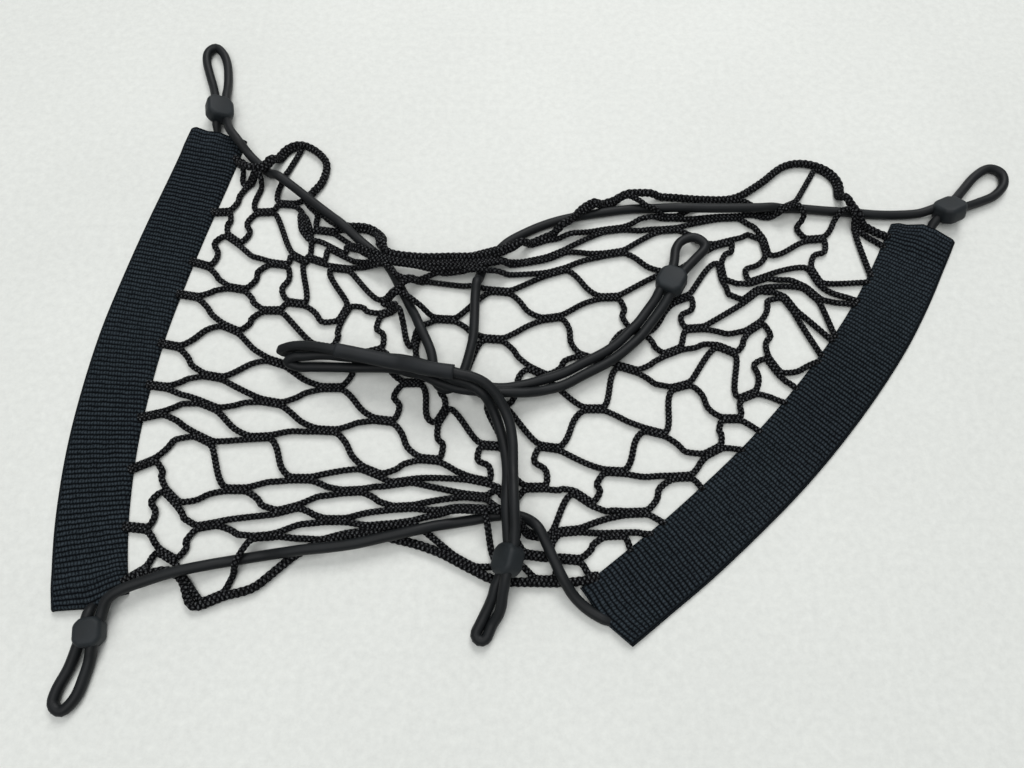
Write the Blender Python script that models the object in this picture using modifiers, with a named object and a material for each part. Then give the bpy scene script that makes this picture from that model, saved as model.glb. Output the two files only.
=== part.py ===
"""A cargo net for a car boot, lying loose on the floor: a knotless net between two webbing bands, with three
rubber cords, five beads and a sleeve. Lengths in the tables are millimetres, +X right, +Y away, +Z up."""

import math

import bmesh
import bpy
import numpy as np
from mathutils import Matrix, Vector

MM = 0.001
CLEAR = 0.35  # between two pieces that touch

# Webbing bands
BAND_WIDTH = 39.0
BAND_THICK = 3.4  # two layers of webbing
HEM_THICK = 4.8  # where the end is folded in
HEM_LENGTH = 16.0
BAND_STEP = 7.5  # along the band
BAND_ACROSS = 6  # strips across the band

# Net
TWINE = 3.4  # one braid
JOIN_WIDE = 4.7  # two braids run together
EDGE_WIDE = 4.8  # the braid along the net's far and near edge
JOIN_LENGTH = 12.0
MESH_SIDE = 27.0  # length of one strand between two joins
MOST_SLACK = 1.22  # a strand never bows to more than this share of its span
LEAVE = 25.0  # degrees that a strand turns from its join at once
STRAND_PARTS = 3
NET_TALL = 3.0
MOST_CORNER = 0.6  # of the shorter wire, that the web between two braids reaches
INTO_BAND = 4.0  # that a braid runs on before it is trimmed along the band
EDGE_STEP = 8.5

# Rubber cords, beads and sleeve
CORD = 5.8
BEAD_WIDE, BEAD_LONG, BEAD_TALL = 16.5, 17.0, 10.6
BEAD_ROUND = 3.0
BORE = CORD + 2 * CLEAR  # of the beads and the sleeve
SLEEVE = 8.4

# Centre lines of the bands, from the far end to the near end: x, y
LEFT_BAND = (
    (-233.5, 142), (-241.5, 106), (-250, 70), (-257.5, 34), (-264, -3),
    (-267.5, -40), (-268.5, -75), (-266.5, -110), (-262.5, -138), (-258, -158),
)
RIGHT_BAND = (
    (220.5, 66), (198, 26), (175.5, -8), (144, -47), (107.5, -85.5), (63, -125), (31, -150), (12, -164.5),
)

# Joins of the net, one row a course from the left band on. Each row: course, place of its first join counted in
# half meshes from the far edge, then for each join x, y and its turn in degrees.
COURSES = (
    (0, 0, ((-219, 118, -10), (-223, 82, 3), (-230, 44, -18), (-234, 22, -10), (-240, -11, -12), (-243, -37, -8),
            (-243, -55, 15), (-242, -84, 30), (-240, -119, -8), (-236, -144, 35))),
    (1, 1, ((-206, 105, 42), (-213, 62, -36), (-206, 27, -10), (-206, 0, -24), (-212, -31, -10), (-212, -49, -22),
            (-212, -69, -25), (-225, -102, -42), (-222, -134, -28))),
    (2, 2, ((-195, 82, 3), (-182, 44, -8), (-183, 12, 0), (-176, -22, -18), (-176, -47, -10), (-180, -68, 3),
            (-190, -98, 0), (-203, -118, 10))),
    (3, 1, ((-182, 88, -5), (-170, 48, -30), (-169, 17, -8), (-150, -12, -10), (-142, -38, 0), (-143, -64, -3),
            (-155, -92, 0), (-160, -109, 15), (-170, -124, 12))),
    (4, 2, ((-171, 75, -80), (-160, 47, -20), (-139, 10, 65), (-120, -15, 15), (-111, -58, -7), (-116, -88, -22),
            (-126, -99, 3), (-134, -115, 0))),
    (5, 1, ((-156, 68, -8), (-147, 53, -30), (-144, 41, -8), (-112, 11, 20), (-96, -35, 0), (-84, -81, -5),
            (-99, -94, 8), (-97, -108, 3), (-97, -117, 8))),
    (6, 2, ((-136, 54.5, -37), (-122, 42, -5), (-112, 20, 22), (-95, -7, 80), (-78, -55, 60), (-56, -93, -12),
            (-58, -102, -6), (-59, -110.4, -3))),
    (7, 1, ((-110, 46, -12), (-103, 41, -8), (-97, 31, 15), (-78, 6, -3), (-73, -34, 0), (-50, -73, -4),
            (-42, -102, -50), (-42, -112.2, -23), (-40, -138, 8))),
    (8, 2, ((-82, 41, 0), (-66, 37, 5), (-45, 25, -5), (-49, -7, -4), (-46, -48, -18), (-25, -97, 0),
            (-24, -123.5, -8), (-26, -134, -8))),
    (9, 1, ((-22, 60, 20), (-10, 51, 25), (-10, 39, 17), (-14, 7, 8), (-23, -28, -27), (-17, -74, -8),
            (1, -103, -35), (-7, -121, 5), (-7, -136, -5))),
    (10, 2, ((26, 69, 8), (26, 52, 10), (21, 21, 2), (7, -19, -18), (9, -51, 0), (19, -88, -3),
             (30, -111, 2), (17, -123, 2))),
    (11, 1, ((61, 78, 0), (61, 69, 5), (60, 39, 8), (37, -2, -20), (30, -26, -18), (43, -65, -15), (56, -91, 3))),
    (12, 2, ((100, 78, 2), (94, 59, 16), (65, 20, 22), (57, -15, 22), (60, -37, 15), (75, -76, 27))),
    (13, 1, ((136, 82, 25), (120, 56, -82), (91, 39, -85), (71, 0, 4), (89, -14, -25), (87, -57, 0))),
    (14, 2, ((152, 62, 5), (113, 33, 20), (107, 22, 38), (107, 1, 33), (98, -43, 22))),
    (15, 1, ((178, 74, -80), (148, 36, -67), (145, 23, -48), (130, 16, -60), (115, -24, -60))),
)

# Where the last strands are sewn into the right band: course and place of the join they leave, side, x, y
RIGHT_ENDS = (
    (15, 1, 1, 191, 58), (15, 1, -1, 180, 36), (15, 3, 1, 178, 33), (15, 3, -1, 169, 20), (15, 5, 1, 167, 18),
    (15, 5, -1, 151, -4), (15, 7, 1, 149, -6), (15, 7, -1, 141, -16), (15, 9, 1, 139, -18), (15, 9, -1, 125, -37),
    (14, 10, -1, 118, -46), (13, 11, -1, 102, -64), (12, 12, -1, 92, -75), (11, 13, -1, 67, -98),
    (10, 14, -1, 45, -117), (10, 16, 1, 38, -123), (10, 16, -1, 25, -131),
)

# The braided edges of the net: x, y, from the left band to the right one
FAR_EDGE = (
    (-219, 121), (-208, 112), (-198, 112), (-192, 122), (-186, 131), (-177, 134), (-166, 128), (-159, 118),
    (-161, 104), (-168, 92), (-160, 82), (-147, 72), (-129, 70), (-119, 62), (-115, 49), (-96, 45), (-76, 45),
    (-56, 46), (-38, 53), (-18, 62.5), (-2, 71), (9, 82), (30, 91), (56, 93), (84, 91), (104, 92), (122, 103),
    (138, 116), (152, 119), (166, 114), (173, 104), (173, 90), (179, 76), (190, 67), (198, 63),
)
NEAR_EDGE = (
    (-236, -146), (-222, -142), (-212, -146), (-206, -158), (-201, -160), (-188, -155), (-174, -151), (-164, -143),
    (-152, -133), (-138, -127), (-118, -123), (-98, -126), (-78, -132), (-60, -141), (-46, -147), (-26, -148),
    (-8, -148), (8, -146),
)
# Where the strands meet those edges: course, place, x and y of the strand that comes, x and y of the one that goes
EDGE_JOINS = (
    (2, 0, -198, 112, -176, 134), (4, 0, -168, 92, -160, 82), (6, 0, -140, 71, -122, 65), (8, 0, -70, 45, -38, 53),
    (10, 0, 6, 80, 36, 92), (12, 0, 84, 91, 107, 94), (14, 0, 160, 116, 173, 92),
    (2, 18, -200, -159, -188, -155), (4, 18, -140, -127, -126, -124), (6, 18, -70, -136, -58, -142),
    (8, 18, -26, -148, -16, -148), (10, 18, 3, -147, None, None),
)

# Stretches where the net rides over a cord: x, y of both ends
OVER = (
    (-204, 116, -196, 112), (-126, 54, -112, 44), (-112, 44, -50, 43), (-112, 44, -98, 12), (-58, 44, -38, 56.5),
    (-60, 38, -53.5, 43.8), (-3, 73, 10, 80), (38, 85, 48, 85), (137.4, 82.3, 150, 84), (174, 82, 178, 82),
    (-180, -133, -176, -133), (-66, -116, -36, -113),
)
OVER_HEIGHT = 6.6  # that the net is raised there
OVER_FLAT, OVER_REACH = 5.0, 13.0  # full height this near to the stretch, none past this

# Routes of the rubber cords: x, y and height of the cord's middle
CORD_TOP = (
    (-234.4, 144.8, 3), (-234.8, 152, 5.5), (-236.4, 161, 5.5), (-238, 170, 5.5), (-242, 182, 3.4),
    (-246.5, 194, 3), (-250, 205, 3), (-250, 213, 3), (-245, 217, 3), (-239, 211, 3), (-235, 201, 3),
    (-233, 190, 3), (-232, 181, 3.4), (-231, 171, 5.5), (-229.4, 162, 5.5), (-227.8, 153, 6), (-224, 142.6, 9),
    (-217, 133, 8.8), (-209.5, 124.5, 3.6), (-200, 115, 3), (-195.2, 111, 3), (-190.6, 107.2, 6.9),
    (-187, 104.4, 8.9), (-178, 98, 7), (-164, 86, 7.1), (-152, 76, 7.1), (-144, 69.5, 7.1), (-134, 61, 3.6),
    (-125, 53, 3), (-117, 45.5, 3), (-111.5, 37.5, 3), (-107, 29, 3), (-102.5, 20.5, 3), (-98.8, 13, 3),
    (-95.6, 6.4, 5.4), (-92.5, -1, 7.6), (-88, -10.5, 7.1), (-84.8, -19, 7.1), (-83.2, -29, 6.4), (-81.5, -36.5, 6.3),
    (-76.5, -40.6, 6.3), (-70.5, -38.2, 6.3), (-65.8, -29.5, 6.4), (-62.6, -18, 7.1), (-60.8, -8, 7.1),
    (-60.3, 4, 7.1), (-60.2, 16, 7.1), (-59.9, 22, 7.2), (-59.3, 28.5, 7.7), (-58.3, 32.4, 3.7), (-57.7, 34.8, 3),
    (-54.4, 44.3, 3), (-48.5, 50.5, 3), (-40.6, 58.9, 3), (-30, 65.6, 3), (-19, 71, 3), (-8, 75, 3), (5, 78.2, 3),
    (22, 81.6, 3), (37, 84, 3), (50, 85.3, 3), (60, 86, 5), (70, 86.4, 7.1), (84, 86.5, 7.1), (102, 86.5, 7.1),
    (118, 86, 7.2), (125.5, 85.7, 8.8), (134, 85.6, 3.1), (144, 84.3, 3), (160, 83.4, 3), (176, 82, 3), (192, 80, 3),
    (206, 79, 3), (219, 79.6, 3.8), (229, 82.2, 5.5), (236, 85.4, 5.5), (243, 88.6, 5.5), (252, 98, 3.4),
    (262, 108.5, 3), (272, 114.5, 3), (279.5, 111, 3), (279, 102, 3), (271, 93.5, 3), (260, 88.5, 3),
    (251, 84.8, 3.8), (245, 82, 5.5), (238, 78.8, 5.5), (231, 75.6, 5.4), (227, 71.6, 3.4), (224.8, 67.4, 3),
)
CORD_BOTTOM = (
    (-255.2, -159.6, 3), (-255.6, -163.5, 5.5), (-256.6, -171, 5.5), (-257.7, -179, 5.5), (-261, -190, 3.4),
    (-265, -200, 3), (-265.5, -207, 3), (-260.5, -210, 3), (-255, -203.5, 3), (-252.5, -193, 3),
    (-251.3, -186, 3.6), (-250.7, -180, 5.5), (-249.7, -172, 5.5), (-248.6, -164, 5.8), (-246, -157, 7.8),
    (-239.5, -150.5, 8.6), (-229, -145, 7.4), (-215, -140.5, 7.1), (-200, -137, 5.4), (-188, -134.4, 3),
    (-170, -131.2, 3), (-158, -129.6, 6), (-148, -128.2, 7.1), (-134, -126.6, 7.1), (-120, -124.8, 7.1),
    (-106, -122.2, 7.1), (-90, -120, 7.1), (-80, -118.4, 5.4), (-69, -116.6, 3), (-58, -115, 3),
    (-46, -112.8, 3), (-36, -112.8, 3), (-29.2, -115.3, 4.8), (-24, -120.2, 7.8), (-20, -128, 7.1), (-16, -137, 7.1),
    (-11.5, -146.5, 7.1), (-6, -155, 4.4), (1, -161.6, 3), (10.4, -167.4, 3),
)
CORD_MIDDLE = (
    (-131.6, -23.6, 20.1), (-137.5, -22.4, 20.2), (-143.6, -20.8, 19.4), (-152.2, -18.9, 17.9), (-160.9, -17.6, 15.5),
    (-167.5, -17.4, 12.8), (-171.8, -17.9, 9.9), (-168.5, -18.2, 7.2), (-163, -17.8, 6.8), (-155, -17.8, 6.8),
    (-148, -18.8, 6.8), (-141, -20, 6.8), (-129, -21.2, 6.8), (-113, -21.4, 6.8), (-104, -22, 7.2), (-97, -23.9, 8.8),
    (-91.5, -26.3, 11.3), (-87, -28.2, 12.5), (-82, -30.6, 12.8), (-76, -33.2, 12.7), (-70, -35.5, 12.6),
    (-63, -37.2, 12.2), (-57, -38.4, 9.8), (-50, -39.8, 7), (-41, -40, 6.8), (-30, -37.9, 6.8), (-20, -35, 6.8),
    (-8.5, -31, 6.8), (3.5, -24.5, 6.8), (15.7, -17.9, 6.8), (23.7, -12, 6.8), (30.8, -4.8, 6.8), (36.6, 1.3, 6.8),
    (42.7, 9.6, 6.8), (47.6, 16.3, 7.8), (50.8, 22.2, 9.1), (55.1, 29.6, 9.2), (59.4, 36.9, 9.2), (61.2, 44, 8.6),
    (62.6, 50.8, 7.5), (65.7, 56.3, 6.8), (69.9, 59.1, 6.8), (74.4, 60.1, 6.8), (78.4, 58.5, 6.8), (81.2, 55, 6.8),
    (80.2, 51.2, 6.8), (76.2, 46.7, 6.9), (71.7, 41.6, 8), (65, 33.6, 9.2), (60.7, 26.2, 9.2), (56.4, 18.9, 9.1),
    (50.9, 10.1, 7.8), (43.3, -0.1, 6.8), (37.4, -7.7, 6.8), (31, -13.9, 6.8), (23.8, -20, 6.8), (16, -25.2, 6.8),
    (3.6, -31.9, 6.8), (-8.2, -38.3, 6.8), (-20, -41.7, 6.9), (-30, -44, 9.6), (-41, -44.6, 11.4),
    (-50, -44.9, 11.9), (-57, -44.2, 12.4), (-63, -43.7, 12.6), (-70, -42.4, 12.6), (-80, -38.8, 12.8),
    (-85, -36.2, 12.4), (-90, -33.6, 11.2), (-97, -31, 8), (-104.8, -28.4, 6.9), (-113, -27.6, 6.8), (-129, -27.5, 6.8),
    (-145.5, -27.2, 6.8), (-153.6, -27.1, 6.8), (-161.8, -26.9, 6.8), (-167.5, -24.8, 8.9), (-162.8, -22.7, 11.4),
    (-156.9, -22.5, 12), (-148.7, -21.9, 12.3), (-138.7, -22.4, 12.7), (-129, -23.6, 12.6), (-113, -24.6, 12.3),
    (-104, -25.4, 13), (-97, -27.6, 14.5), (-90, -30.4, 17), (-84, -33.3, 18.1), (-80, -35.2, 18.4), (-70, -39.4, 18.1),
    (-63, -41.6, 18.4), (-59.7, -43.6, 18.6), (-56, -45.8, 18), (-53.4, -48.2, 17), (-50.2, -52, 12.8), (-46.8, -59.1, 9),
    (-43.3, -70.5, 6.8), (-41.2, -82, 6.8), (-40.6, -92, 7.8), (-41, -102, 12.2), (-41, -112, 13.8),
    (-40.5, -120, 12), (-40.2, -125.2, 10.2), (-40.1, -129.2, 9.3), (-42.2, -137.5, 9.2), (-44.3, -145.8, 9.2),
    (-46.5, -150.7, 8.6), (-47.8, -155.3, 7), (-49.7, -159.8, 5), (-52.1, -164.5, 3.4), (-54.4, -169.1, 3),
    (-56.3, -173.8, 3), (-55.4, -177, 3), (-52.4, -176.8, 3), (-49.8, -173.8, 3), (-47.9, -169.2, 3.4),
    (-45, -164.7, 6.1), (-43.4, -160.2, 8.7), (-42.8, -155.6, 11), (-41.9, -151, 13.4), (-41.1, -146.6, 15),
    (-39, -138.3, 15), (-36.9, -130.1, 15), (-36.6, -125, 15.8), (-36.4, -120, 17), (-36.8, -112, 18.8),
    (-37.2, -102, 17.8), (-37.5, -90, 13.6), (-37.6, -75.8, 13.2), (-39.1, -64.5, 13.5), (-41.7, -57.2, 15),
    (-45.4, -50.5, 18.4), (-49.6, -45.9, 21.4), (-54.5, -42.6, 23.6), (-60.4, -40.4, 25), (-66, -39.3, 25.8),
    (-70, -38.2, 26), (-76, -37.5, 26),
)
# The sleeve: x, y and height of its middle, from the left end to the right one
SLEEVE_LINE = (
    (-137.5, -22.4, 20.2), (-127, -24.6, 20.1), (-116, -26.9, 19.8), (-103, -29.8, 19.9), (-94, -32.6, 22.9),
    (-87, -35.2, 25), (-79, -37, 26), (-70, -38.2, 26),
)

# Beads: name, x, y, height of the middle, turn and roll in degrees
BEADS = (
    ("bead_left_far", -232.9, 161.5, 5.5, 100, 0),
    ("bead_left_near", -253.1, -171.5, 5.5, 98, 0),
    ("bead_right_far", 237.0, 82.1, 5.5, 24.6, 0),
    ("bead_middle_far", 57.9, 27.9, 9.2, 59.7, 0),
    ("bead_middle_near", -40.6, -137.9, 12.1, 76, -60),
)

# What the whole lay is moved by, so that the net and its bands lie round the origin
SHIFT_X, SHIFT_Y = 25.25, 16.9

LOOKS = {  # colour and roughness of each material
    "braid": ((0.012, 0.012, 0.014), 0.75),
    "webbing": ((0.010, 0.012, 0.022), 0.7),
    "rubber_cord": ((0.030, 0.034, 0.038), 0.55),
    "rubber": ((0.050, 0.058, 0.066), 0.5),
}


def direction(turn):
    """Unit vector on the floor at this turn in degrees."""
    return np.array((math.cos(math.radians(turn)), math.sin(math.radians(turn))))


def smooth(points, parts=16):
    """A Catmull-Rom curve through the points, parts steps to each span."""
    points = np.array(points, float)
    ends = (2 * points[0] - points[1], 2 * points[-1] - points[-2])
    all_points = np.vstack((ends[0], points, ends[1]))
    line = []
    for before, start, end, after in zip(all_points, all_points[1:], all_points[2:], all_points[3:]):
        for t in np.arange(parts) / parts:
            bend = 2 * start + (end - before) * t + (2 * before - 5 * start + 4 * end - after) * t**2
            line.append((bend + (3 * start - 3 * end + after - before) * t**3) / 2)
    return np.array(line + [points[-1]])


def thinned(line, longest, most_turn):
    """The line with only the points it needs: no span over longest, and a point wherever it has turned enough."""
    kept = [0]
    for i in range(1, len(line) - 1):
        span = line[i] - line[kept[-1]]
        ahead = line[i + 1] - line[i]
        behind = line[kept[-1] + 1] - line[kept[-1]]
        cosine = np.dot(behind, ahead) / (np.linalg.norm(behind) * np.linalg.norm(ahead))
        turned = math.degrees(math.acos(max(-1.0, min(1.0, cosine))))
        if np.linalg.norm(span) >= longest or turned >= most_turn:
            kept.append(i)
    return line[kept + [len(line) - 1]]


def spaced(line, step):
    """The line cut into equal steps of about this length."""
    lengths = np.concatenate(([0], np.cumsum(np.linalg.norm(np.diff(line, axis=0), axis=1))))
    count = max(2, round(lengths[-1] / step) + 1)
    places = np.linspace(0, lengths[-1], count)
    return np.column_stack([np.interp(places, lengths, line[:, k]) for k in range(line.shape[1])])


def net_height(x, y):
    """Height of the middle of a braid: on the floor, or over a cord where the net rides on it."""
    raised = 0.0
    for x0, y0, x1, y1 in OVER:
        along = np.array((x1 - x0, y1 - y0), float)
        share = np.dot((x - x0, y - y0), along) / np.dot(along, along)
        near = np.array((x0, y0)) + along * min(1.0, max(0.0, share))
        reach = (OVER_REACH - math.hypot(x - near[0], y - near[1])) / (OVER_REACH - OVER_FLAT)
        reach = min(1.0, max(0.0, reach))
        raised = max(raised, OVER_HEIGHT * reach * reach * (3 - 2 * reach))
    return NET_TALL / 2 + raised


class Wires:
    """The net as points joined by wires, each point with the thickness of its braid."""

    def __init__(self):
        self.points, self.thick, self.wires = [], [], []

    def add(self, x, y, thick):
        self.points.append((x, y, net_height(x, y)))
        self.thick.append(thick)
        return len(self.points) - 1

    def run(self, first, line, last, thick):
        """Wires from one point to another through the line's inner points."""
        places = [first] + [self.add(x, y, thick) for x, y in line[1:-1]] + [last]
        self.wires += list(zip(places, places[1:]))


def strand_line(start, start_turn, end, end_turn):
    """A strand between two points, leaving and arriving at these turns, and bowing out if it is longer."""
    start, end = np.array(start, float), np.array(end, float)
    span = np.linalg.norm(end - start)
    length = min(MESH_SIDE, span * MOST_SLACK)
    reach = span * 0.3
    for _ in range(12):
        first = start + direction(start_turn) * reach
        second = end - direction(end_turn) * reach
        t = np.linspace(0, 1, 13)[:, None]
        line = (1 - t)**3 * start + 3 * t * (1 - t)**2 * first + 3 * t * t * (1 - t) * second + t**3 * end
        longer = length - np.linalg.norm(np.diff(line, axis=0), axis=1).sum()
        reach = min(max(reach + longer * 0.45, span * 0.2), MESH_SIDE * 0.75)
    return spaced(line, np.linalg.norm(np.diff(line, axis=0), axis=1).sum() / STRAND_PARTS)


def net_wires():
    net = Wires()
    starts, ends = {}, {}
    for course, place, joins in COURSES:
        for x, y, turn in joins:
            half = direction(turn) * JOIN_LENGTH / 2
            start = (x, y) - half if course else into_band(LEFT_BAND, x - half[0], y - half[1])
            starts[course, place] = (net.add(*start, JOIN_WIDE), start, turn)
            ends[course, place] = (net.add(*((x, y) + half), JOIN_WIDE), (x, y) + half, turn)
            net.wires.append((starts[course, place][0], ends[course, place][0]))
            place += 2
    edges = {"far": [], "near": []}
    for course, place, x0, y0, x1, y1 in EDGE_JOINS:
        edge = "far" if place == 0 else "near"
        for table, x, y in ((starts, x0, y0), (ends, x1, y1)):
            if x is not None:
                point = net.add(x, y, EDGE_WIDE)
                edges[edge].append(point)
                table[course, place] = (point, np.array((x, y), float), None)
    for edge, route in (("far", FAR_EDGE), ("near", NEAR_EDGE)):
        net_edge(net, route, ends[0, 0 if edge == "far" else 18][0], edges[edge])
    for (course, place), (point, spot, turn) in ends.items():
        for side in (1, -1):
            meets = starts.get((course + 1, place - side))
            if meets is not None:
                strand(net, point, spot, turn, side, *meets)
    for course, place, side, x, y in RIGHT_ENDS:
        point, spot, turn = ends[course, place]
        end = into_band(RIGHT_BAND, x, y)
        strand(net, point, spot, turn, side, net.add(*end, TWINE), end, None)
    return net


def net_edge(net, route, first, joins):
    """The braid along one edge of the net, through the points where the strands join it."""
    line = smooth(route)
    last = net.add(*into_band(RIGHT_BAND, *route[-1]), EDGE_WIDE)
    done = 0
    for start, end in zip([first] + joins, joins + [last]):
        ahead = len(line) - 1
        if end != last:
            ahead = int(np.argmin(np.linalg.norm(line - np.array(net.points[end][:2]), axis=1)))
        net.run(start, spaced(line[done:ahead + 1], EDGE_STEP), end, EDGE_WIDE)
        done = ahead


def band_lines(route, width):
    """The middle of a band and its two edges, as points BAND_STEP apart."""
    middle = spaced(smooth(route), BAND_STEP)
    along = np.gradient(middle, axis=0)
    aside = np.column_stack((-along[:, 1], along[:, 0])) / np.linalg.norm(along, axis=1)[:, None]
    return middle, middle - aside * width / 2, middle + aside * width / 2


def into_band(route, x, y):
    """The point a little inside a band, next to x, y on its edge."""
    middle, left, right = band_lines(route, BAND_WIDTH)
    edge = right if route is LEFT_BAND else left
    nearest = int(np.argmin(np.linalg.norm(edge - (x, y), axis=1)))
    inwards = (middle[nearest] - edge[nearest]) / np.linalg.norm(middle[nearest] - edge[nearest])
    return np.array((x, y)) + inwards * (INTO_BAND + np.dot(edge[nearest] - (x, y), inwards))


def strand(net, point, spot, turn, side, end_point, end_spot, end_turn):
    """One strand from the end of a join up (side 1) or down (side -1) to the start of the next course's join."""
    straight = math.degrees(math.atan2(*(end_spot - spot)[::-1]))
    leave = straight if turn is None else turn + side * LEAVE
    arrive = straight if end_turn is None else end_turn
    short = min(1.0, max(0.0, (MESH_SIDE - np.linalg.norm(end_spot - spot)) / (MESH_SIDE * 0.6)))
    leave += (0.45 + 0.5 * short) * turned_between(leave, straight)
    arrive += (0.35 + 0.6 * short) * turned_between(arrive, straight)
    net.run(point, strand_line(spot, leave, end_spot, arrive), end_point, TWINE)


def turned_between(first, second):
    """Degrees from the first turn to the second, the short way."""
    return (second - first + 180) % 360 - 180


def parts_collection():
    found = bpy.data.collections.get("cargo_net")
    if found is None:
        found = bpy.data.collections.new("cargo_net")
        bpy.context.scene.collection.children.link(found)
    return found


def add_object(name, data, look=None):
    """A new object in the part's collection, with its own material. A cutter has no look and stays out of renders."""
    thing = bpy.data.objects.new(name, data)
    parts_collection().objects.link(thing)
    if look is None:
        thing.hide_render = True
        thing.display_type = "WIRE"
        return thing
    colour, roughness = LOOKS[look]
    material = bpy.data.materials.new(name)
    material.use_nodes = True
    shader = material.node_tree.nodes["Principled BSDF"]
    shader.inputs["Base Color"].default_value = (*colour, 1)
    shader.inputs["Roughness"].default_value = roughness
    data.materials.append(material)
    return thing


def placed(points):
    """Points of the lay in millimetres as points of the scene in metres."""
    return (np.array(points, float) + (SHIFT_X, SHIFT_Y, 0)) * MM


def tube(name, line, wide, look=None):
    """A round rod along a line of points, as a curve object."""
    curve = bpy.data.curves.new(name, "CURVE")
    curve.dimensions = "3D"
    curve.bevel_depth = wide / 2 * MM
    curve.bevel_resolution = 2
    curve.use_fill_caps = True
    spline = curve.splines.new("POLY")
    spline.points.add(len(line) - 1)
    for point, spot in zip(spline.points, placed(line)):
        point.co = (*spot, 1)
    return add_object(name, curve, look)


def mesh_of(name, curve_object):
    """A mesh object of a tube, closed at its caps, to cut with. It stays out of renders."""
    bpy.context.view_layer.update()
    graph = bpy.context.evaluated_depsgraph_get()
    mesh = bpy.data.meshes.new_from_object(curve_object.evaluated_get(graph))
    mesh.materials.clear()
    bm = bmesh.new()
    bm.from_mesh(mesh)
    bmesh.ops.remove_doubles(bm, verts=bm.verts, dist=0.00001)
    bmesh.ops.recalc_face_normals(bm, faces=bm.faces)
    bm.to_mesh(mesh)
    bm.free()
    return add_object(name, mesh)


def cord_route(table):
    line = thinned(smooth(table), CORD * 2.6, 20)
    line[:, 2] = np.maximum(line[:, 2], CORD / 2 + 0.05)
    return line


def fat_cord(table):
    """A cutter a little wider and longer than the cord on this route."""
    line = cord_route(table)
    for end, inner in ((0, 1), (-1, -2)):
        away = line[end] - line[inner]
        line[end] = line[end] + away / np.linalg.norm(away) * CLEAR
    return mesh_of("cut_along_cord", tube("cut_route", line, BORE))


def cut(thing, cutter, solver="EXACT"):
    modifier = thing.modifiers.new("cut", "BOOLEAN")
    modifier.operation = "DIFFERENCE"
    modifier.solver = solver
    modifier.object = cutter


def band_trim(route):
    """A cutter a little wider than the band, to trim the braids along it."""
    middle, left, right = band_lines(route, BAND_WIDTH + 2 * CLEAR)
    for line in (left, right):
        line[0] += (line[0] - line[1]) / BAND_STEP * CLEAR
        line[-1] += (line[-1] - line[-2]) / BAND_STEP * CLEAR
    outline = np.vstack((left, right[::-1]))
    rim = [(*p, -5) for p in outline]
    mesh = bpy.data.meshes.new("trim")
    mesh.from_pydata([tuple(p) for p in placed(rim)], [], strip_faces(len(middle)))
    trim = add_object("trim", mesh)
    solid = trim.modifiers.new("height", "SOLIDIFY")
    solid.thickness = 30 * MM
    solid.offset = 1 if mesh.polygons[0].normal.z > 0 else -1
    return trim


def strip_faces(count):
    """Faces across an outline that runs up one side of a strip and back down the other."""
    return [(k, 2 * count - 1 - k, 2 * count - 2 - k, k + 1) for k in range(count - 1)]


def make_band(name, route):
    """Two layers of webbing, one grid made solid, thicker where its ends are folded in."""
    middle, left, right = band_lines(route, BAND_WIDTH)
    length = np.linalg.norm(np.diff(middle, axis=0), axis=1).sum()
    rows, columns = len(middle), BAND_ACROSS + 1
    points = [(*(a + (b - a) * k / BAND_ACROSS), 0) for a, b in zip(left, right) for k in range(columns)]
    faces = []
    for row in range(rows - 1):
        for k in range(BAND_ACROSS):
            at = row * columns + k
            faces.append((at, at + 1, at + columns + 1, at + columns))
    mesh = bpy.data.meshes.new(name)
    mesh.from_pydata([tuple(p) for p in placed(points)], [], faces)
    band = add_object(name, mesh, "webbing")
    group = band.vertex_groups.new(name="thickness")
    for row in range(rows):
        from_end = min(row, rows - 1 - row) * length / (rows - 1)
        share = 1.0 if from_end <= HEM_LENGTH else BAND_THICK / HEM_THICK
        group.add(list(range(row * columns, (row + 1) * columns)), share, "REPLACE")
    solid = band.modifiers.new("thickness", "SOLIDIFY")
    solid.thickness = HEM_THICK * MM
    solid.offset = 1 if mesh.polygons[0].normal.z > 0 else -1
    solid.vertex_group = "thickness"
    return band


def corner_between(spot, first, second, half):
    """Where the left side of the wire to first meets the right side of the wire to second, in plan."""
    ways = [(np.array(other[:2]) - spot[:2]) for other in (first, second)]
    lengths = [np.linalg.norm(way) for way in ways]
    a, b = ways[0] / lengths[0], ways[1] / lengths[1]
    middle = np.array((-a[1] + b[1], a[0] - b[0]))
    size = np.linalg.norm(middle)
    if size < 0.02:
        return np.array(spot[:2]) + (a + b) / 2 * min(lengths) * MOST_CORNER
    middle /= size
    wedge = (a[0] * b[1] - a[1] * b[0]) > 0
    most = MOST_CORNER * min(lengths) if wedge else 1.4 * half
    return np.array(spot[:2]) + middle * min(half / max(0.05, np.dot(middle, (-a[1], a[0]))), max(most, half))


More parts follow.
